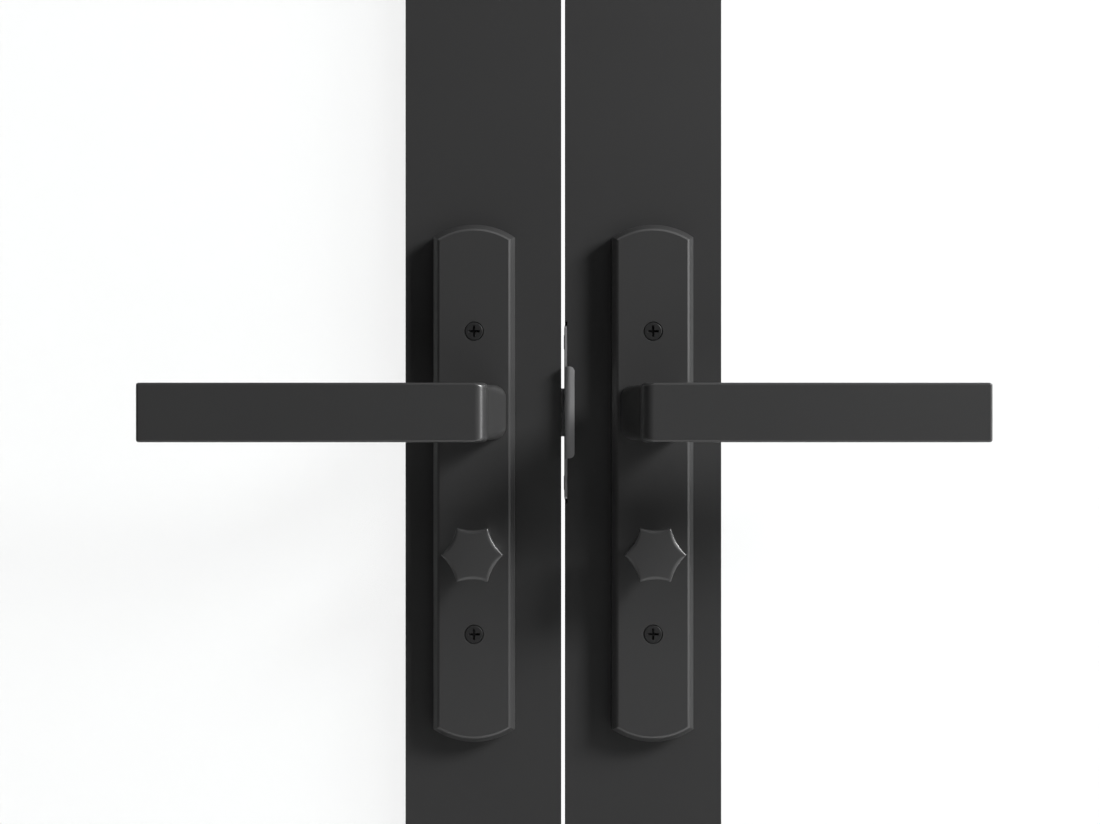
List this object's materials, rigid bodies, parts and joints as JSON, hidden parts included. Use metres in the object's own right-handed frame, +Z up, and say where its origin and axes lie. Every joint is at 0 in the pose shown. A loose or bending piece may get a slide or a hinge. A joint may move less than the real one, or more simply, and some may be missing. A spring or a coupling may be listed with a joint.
{
  "type": "french doors",
  "caption": "Pair of narrow-stile glazed doors hinged in a slim frame, with lever handles, star thumb-turns, a spring latch and shoot bolts.",
  "frame": {"origin": "on the floor under the threshold, midway between the two leaves and midway through their thickness", "axes": "+X to the right seen from the room side, +Y away from the room side, +Z up"},
  "size_m": [1.608, 0.164, 2.098],
  "materials": {
    "profile_black": "fine satin powder coat",
    "handle_black": "smooth satin black coat",
    "hinge_black": "satin black coat",
    "threshold_aluminium": "dark anodised",
    "spacer_aluminium": "mill",
    "bolt_steel": "grey satin",
    "zinc_steel": "zinc plated",
    "rubber_seal": "matt",
    "nylon_guide": "matt",
    "clear_glass": "clear"
  },
  "bodies": {
    "frame": {"left_jamb": "profile_black", "right_jamb": "profile_black", "head": "profile_black", "threshold": "threshold_aluminium", "stop_seal": "rubber_seal", "head_keep": "zinc_steel", "threshold_keep": "zinc_steel", "left_frame_flaps": "hinge_black", "right_frame_flaps": "hinge_black", "left_hinge_pins": "hinge_black", "right_hinge_pins": "hinge_black", "frame_hinge_screws": "zinc_steel"},
    "left_leaf": {"left_lock_stile": "profile_black", "left_hinge_stile": "profile_black", "left_top_rail": "profile_black", "left_bottom_rail": "profile_black", "left_panes": "clear_glass", "left_spacer": "spacer_aluminium", "left_gaskets": "rubber_seal", "left_beads": "profile_black", "left_leaf_flaps": "hinge_black", "left_hinge_screws": "hinge_black", "left_front_plate": "handle_black", "left_back_plate": "handle_black", "left_plate_screws": "handle_black", "left_lock_case": "zinc_steel", "left_faceplate": "bolt_steel", "left_latch_spring": "zinc_steel"},
    "left_lever": {"left_front_lever": "handle_black", "left_back_lever": "handle_black", "left_lever_spindle": "zinc_steel"},
    "left_thumb_turn": {"left_star_turn": "handle_black", "left_turn_spindle": "zinc_steel"},
    "left_latch": {"left_latch_bolt": "bolt_steel"},
    "left_dead_bolt": {"left_dead_bolt": "bolt_steel"},
    "right_leaf": {"right_lock_stile": "profile_black", "right_hinge_stile": "profile_black", "right_top_rail": "profile_black", "right_bottom_rail": "profile_black", "right_panes": "clear_glass", "right_spacer": "spacer_aluminium", "right_gaskets": "rubber_seal", "right_beads": "profile_black", "right_leaf_flaps": "hinge_black", "right_hinge_screws": "hinge_black", "right_front_plate": "handle_black", "right_back_plate": "handle_black", "right_plate_screws": "handle_black", "right_gearbox": "zinc_steel", "right_rod_guides": "nylon_guide", "right_strike": "bolt_steel", "right_strike_screws": "hinge_black"},
    "right_lever": {"right_front_lever": "handle_black", "right_back_lever": "handle_black", "right_lever_spindle": "zinc_steel"},
    "right_thumb_turn": {"right_star_turn": "handle_black", "right_turn_spindle": "zinc_steel"},
    "right_top_bolt": {"right_top_bolt": "zinc_steel"},
    "right_bottom_bolt": {"right_bottom_bolt": "zinc_steel"}
  },
  "joints": [
    {"name": "left_leaf_swing", "type": "hinge", "parent": "frame", "child": "left_leaf", "pos_m": [-0.7625, -0.0265, 1.04], "axis": [0, 0, -1], "range_deg": [0, 105]},
    {"name": "right_leaf_swing", "type": "hinge", "parent": "frame", "child": "right_leaf", "pos_m": [0.7625, -0.0265, 1.04], "axis": [0, 0, 1], "range_deg": [0, 105]},
    {"name": "left_lever_turn", "type": "hinge", "parent": "left_leaf", "child": "left_lever", "pos_m": [-0.0427, 0, 1.04], "axis": [0, -1, 0], "range_deg": [0, 45], "stiffness_Nm_per_rad": 2, "springref_deg": -45.84},
    {"name": "right_lever_turn", "type": "hinge", "parent": "right_leaf", "child": "right_lever", "pos_m": [0.0427, 0, 1.04], "axis": [0, 1, 0], "range_deg": [0, 45], "stiffness_Nm_per_rad": 2, "springref_deg": -45.84},
    {"name": "left_thumb_turn", "type": "hinge", "parent": "left_leaf", "child": "left_thumb_turn", "pos_m": [-0.0427, 0, 0.9735], "axis": [0, -1, 0], "range_deg": [0, 90]},
    {"name": "right_thumb_turn", "type": "hinge", "parent": "right_leaf", "child": "right_thumb_turn", "pos_m": [0.0427, 0, 0.9735], "axis": [0, 1, 0], "range_deg": [0, 90]},
    {"name": "left_latch_slide", "type": "slide", "parent": "left_leaf", "child": "left_latch", "axis": [-1, 0, 0], "range_m": [0, 0.012], "deforming": ["left_latch_spring"]},
    {"name": "left_dead_bolt_slide", "type": "slide", "parent": "left_leaf", "child": "left_dead_bolt", "axis": [1, 0, 0], "range_m": [0, 0.015]},
    {"name": "right_top_bolt_slide", "type": "slide", "parent": "right_leaf", "child": "right_top_bolt", "axis": [0, 0, 1], "range_m": [0, 0.022]},
    {"name": "right_bottom_bolt_slide", "type": "slide", "parent": "right_leaf", "child": "right_bottom_bolt", "axis": [0, 0, -1], "range_m": [0, 0.022]}
  ],
  "couplings": [
    {"joint": "left_latch_slide", "follows": "left_lever_turn", "m_per_rad": 0.01527},
    {"joint": "left_thumb_turn", "follows": "left_dead_bolt_slide", "rad_per_m": 104.71},
    {"joint": "right_thumb_turn", "follows": "right_top_bolt_slide", "rad_per_m": 71.39},
    {"joint": "right_bottom_bolt_slide", "follows": "right_top_bolt_slide", "ratio": 1}
  ]
}
